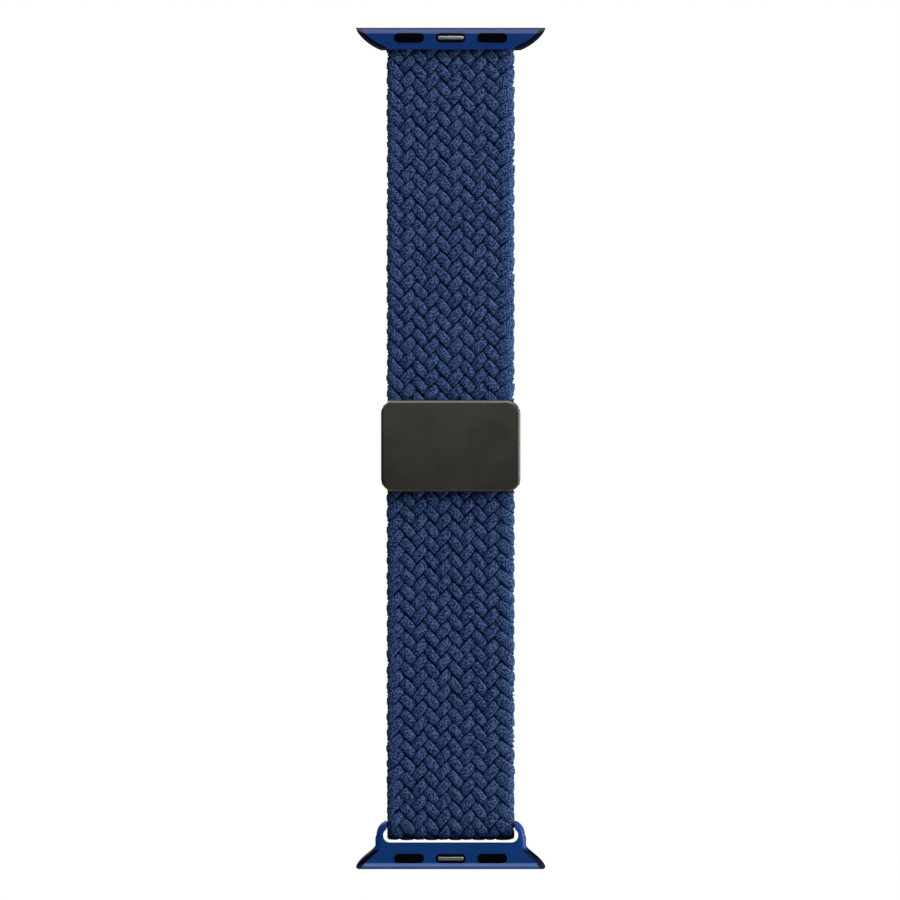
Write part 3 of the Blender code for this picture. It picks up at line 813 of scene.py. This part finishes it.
def lower_lug(coat, rubber, moulded, steel):
    low, high = LOWER_LUG_FACE, LOWER_LUG_FACE + LUG_THICK
    corner_x = FRAME_SIDE - 0.15 - FRAME_CORNER
    corner_z = FRAME_TOP - FRAME_CORNER
    rows = []
    for i in range(13):
        angle = math.radians(90 - 90 * i / 12)
        rows.append((corner_x + FRAME_CORNER * math.cos(angle),
                     corner_z + FRAME_CORNER * math.sin(angle)))
    rows.append((frame_side(corner_z - 0.5), corner_z - 0.5))
    flare_top, floor, steps = SLOT_BOTTOM + 0.4, LOWER_END + LUG_TIP_ROUND, 26
    rows += [(frame_side(z), z) for z in
             (flare_top + (floor - flare_top) * i / steps for i in range(steps + 1))]
    rows.append((frame_side(LOWER_END) - LUG_TIP_ROUND, LOWER_END))
    body = rounded_plate(rows, low, high, LOWER_LUG_EDGE)
    shape_ends(body, (low, high), LOWER_END, 1)
    middle = (SLOT_TOP + SLOT_BOTTOM) / 2
    slot = block((-SLOT_HALF, SLOT_HALF), (low - 1, high + 1), (SLOT_BOTTOM, SLOT_TOP), "Y",
                 SLOT_CORNER, 10)
    reach = STRAP_WIDTH / 2 + CLEARANCE
    mouth = block((-reach, reach), (low - 1, high + 1), (middle, FRAME_TOP + 1))
    crossbar = block((-reach - CROSSBAR_ROOT, reach + CROSSBAR_ROOT),
                     (BAR_Y - BAR_THICK / 2, BAR_Y + BAR_THICK / 2),
                     (SLOT_TOP, SLOT_TOP + BAR_THICK), "X", BAR_THICK / 2 - 0.002, 8)
    pockets = pills_row("lower", low, LOWER_END + PILL_INSET + 0.1, "lower_lug_body",
                        "lower_detent", rubber, moulded, steel)
    finish(machined("lower_lug_coated", body, [slot, mouth] + pockets, [crossbar]), coat,
           "lower_lug_body", ["lower_lug"])


# ---- clasp --------------------------------------------------------------------------

def clasp_half(name, way, body, coat):
    """One half of the clasp. way is 1 for the half on the wrist side and -1 for the half
    that lies outside, turned end for end."""
    def across(low, high):
        return (low, high) if way > 0 else (-high, -low)

    def along(low, high):
        return tuple(sorted((CLASP_MIDDLE + way * low, CLASP_MIDDLE + way * high)))

    half_wide, half_high = CLASP_WIDTH / 2, CLASP_HEIGHT / 2
    shell = block((-half_wide, half_wide), across(-CLASP_FACE, CLASP_CHEEK_REACH),
                  along(-half_high, half_high), "Y", CLASP_CORNER, 14)
    round_rim(shell, -way * CLASP_FACE, CLASP_EDGE, 5)
    bay = half_wide - CLASP_CHEEK
    room = across(-CLASP_INNER, CLASP_FACE + 1)
    wide, ends = (-CLASP_WIDTH, CLASP_WIDTH), CLASP_HEIGHT
    pin = CLASP_MIDDLE + way * (half_high - PIN_INSET)
    cuts = [block((-bay, bay), room, along(CLASP_BLOCK, ends)),
            block(wide, across(-MATING_GAP, CLASP_FACE),
                  along(-CLASP_BLOCK, CLASP_BLOCK + 0.3)),
            block(wide, room, along(-ends, -CLASP_BLOCK)),
            rod(PIN_RADIUS + FIT_GAP, 0, pin, *wide)]
    length, height, thick = MAGNET_SIZE
    depth = MATING_GAP + FIT_GAP + thick + FIT_GAP
    for side in (-1, 1):
        x = side * MAGNET_OFFSET
        cuts.append(block((x - length / 2 - FIT_GAP, x + length / 2 + FIT_GAP),
                          across(-depth, 1),
                          along(-height / 2 - FIT_GAP, height / 2 + FIT_GAP), "Y", 0.5, 4))
    hole = STUD_RADIUS + (FIT_GAP if way > 0 else CLEARANCE)
    sunk = (-STUD_SINK - FIT_GAP, 1) if way > 0 else (-1, STUD_RISE + CLEARANCE)
    cuts.append(disc(hole, CLASP_MIDDLE, sunk))
    finish(machined(f"{name}_plate", shell, cuts, edge=0.06), coat, body, [name])


# ---- the model ----------------------------------------------------------------------

yarn = braid_yarn()
# after the navy come the chamfer's painted highlight and the end flat's colour: painted shade
# on the upper lug, painted light on the lower lug
upper_coat = lug_coat("upper_lug_navy_coat", 0.0, -1, 9.0,
                      (0.0040, 0.0240, 0.1190), (0.007, 0.032, 0.110),
                      (0.0010, 0.0085, 0.0480))
lower_coat = lug_coat("lower_lug_navy_coat", LOWER_END, 1, 3.5,
                      (0.0050, 0.0325, 0.1420), (0.100, 0.200, 0.500),
                      (0.0060, 0.0500, 0.2200))
rubber = grained("pad_rubber", (0.0002, 0.0002, 0.0009), (0.0005, 0.0005, 0.0014),
                 roughness=0.62, grain_mm=0.06, mottle_mm=1.5, bump=0.35, specular=0.02)[0]
moulded = grained("detent_housing_black", (0.0004, 0.0004, 0.0012), (0.0010, 0.0010, 0.0020),
                  roughness=0.5, grain_mm=0.05, mottle_mm=1.0, bump=0.25, specular=0.06)[0]
steel = grained("detent_ground_steel", (0.30, 0.31, 0.32), (0.42, 0.43, 0.45), roughness=0.36,
                metallic=1.0, grain_mm=0.05, mottle_mm=1.2, stretch=(0.12, 1, 1))[0]
pin_steel = grained("pin_turned_steel", (0.42, 0.43, 0.44), (0.58, 0.59, 0.60), roughness=0.28,
                    metallic=1.0, grain_mm=0.05, mottle_mm=1.2, bump=0.25,
                    stretch=(1, 0.15, 0.15))[0]
nickel = grained("magnet_nickel", (0.34, 0.33, 0.31), (0.46, 0.45, 0.43), roughness=0.24,
                 metallic=1.0, grain_mm=0.12, mottle_mm=1.6, bump=0.12)[0]
tip_plastic = grained("strap_tip_plastic", (0.006, 0.009, 0.022), (0.011, 0.015, 0.032),
                      roughness=0.5, grain_mm=0.08, mottle_mm=1.5, bump=0.35)[0]
clasp_coat = clasp_paint()

upper_strap(yarn)
lower_strap(yarn)
upper_lug(upper_coat, rubber, moulded, steel)
lower_lug(lower_coat, rubber, moulded, steel)
clasp_half("clasp_base", 1, "clasp_base_body", clasp_coat)
clasp_half("clasp_cover", -1, "clasp_cover_body", clasp_coat)

kept = {"pin": pin_steel, "stud": pin_steel, "spring": steel, "magnet": nickel,
        "tip": tip_plastic}
for name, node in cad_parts.items():
    for word, finish_material in kept.items():
        if word in name.split("_"):
            for material_slot in node.material_slots:
                material_slot.material = finish_material


# ---- floor, light and camera ----------------------------------------------------------

FLOOR_SIZE, FLOOR_PLACE = (1.4, 1.1), (0, -0.05, -0.42)     # in metres, as what follows
LIGHT_AIM, LIGHT_SPREAD = Vector((0, 0, -0.073)), math.radians(100)
SURROUND_LIGHT = 0.03
LENS, SENSOR = 300.0, 36.0
VIEW_HEIGHT, VIEW_X, VIEW_Z = 0.1559, -0.00012, -0.0731


def pale_floor():
    bm = bmesh.new()
    bmesh.ops.create_grid(bm, x_segments=1, y_segments=1, size=0.5)
    bmesh.ops.scale(bm, verts=bm.verts, vec=(*FLOOR_SIZE, 1))
    bmesh.ops.translate(bm, verts=bm.verts, vec=FLOOR_PLACE)
    floor = raw_object("pale_floor", bm)
    made, _, shader = material("pale_floor_paint")
    shader["Base Color"].default_value = (0.86, 0.86, 0.86, 1)
    shader["Roughness"].default_value = 0.8
    floor.data.materials.append(made)


def soft_light(name, place, size, power):
    lamp = bpy.data.lights.new(name, "AREA")
    lamp.shape = "RECTANGLE"
    lamp.size, lamp.size_y = size
    lamp.energy = power
    lamp.spread = LIGHT_SPREAD
    light = bpy.data.objects.new(name, lamp)
    light.location = place
    aim = LIGHT_AIM - Vector(place)
    light.rotation_euler = aim.to_track_quat("-Z", "Y").to_euler()
    bpy.context.scene.collection.objects.link(light)


def studio():
    """A white surround for the eye, and a dimmer one for the light that it gives."""
    world = bpy.data.worlds.new("studio")
    world.use_nodes = True
    bpy.context.scene.world = world
    n = Nodes(world.node_tree)
    output = world.node_tree.nodes["World Output"]
    seen = world.node_tree.nodes["Background"]
    n.feed(seen.inputs["Color"], (1, 1, 1, 1))
    lit = n.add("ShaderNodeBackground", {"Color": (1, 1, 1, 1),
                                         "Strength": SURROUND_LIGHT})
    to_eye = n.add("ShaderNodeLightPath").outputs["Is Camera Ray"]
    choice = n.add("ShaderNodeMixShader", {0: to_eye})
    n.feed(choice.inputs[1], lit.outputs[0])
    n.feed(choice.inputs[2], seen.outputs[0])
    n.feed(output.inputs["Surface"], choice.outputs[0])
    soft_light("front", (0.22, -0.62, 0.50), (0.55, 0.55), 1.95)
    soft_light("top", (0.04, -0.08, 0.48), (0.45, 0.45), 1.5)
    soft_light("right", (0.55, -0.07, -0.04), (0.26, 0.4), 1.7)
    soft_light("back", (-0.30, 0.50, 0.46), (0.4, 0.4), 1.3)


def camera():
    lens = bpy.data.cameras.new("camera")
    lens.lens = LENS
    lens.sensor_width = SENSOR
    view = bpy.data.objects.new("camera", lens)
    view.location = (VIEW_X, -VIEW_HEIGHT * LENS / SENSOR, VIEW_Z)
    view.rotation_euler = (math.pi / 2, 0, 0)
    lens.clip_start = 0.01
    bpy.context.scene.collection.objects.link(view)
    bpy.context.scene.camera = view


pale_floor()
studio()
camera()
bpy.context.scene.view_settings.view_transform = "Standard"
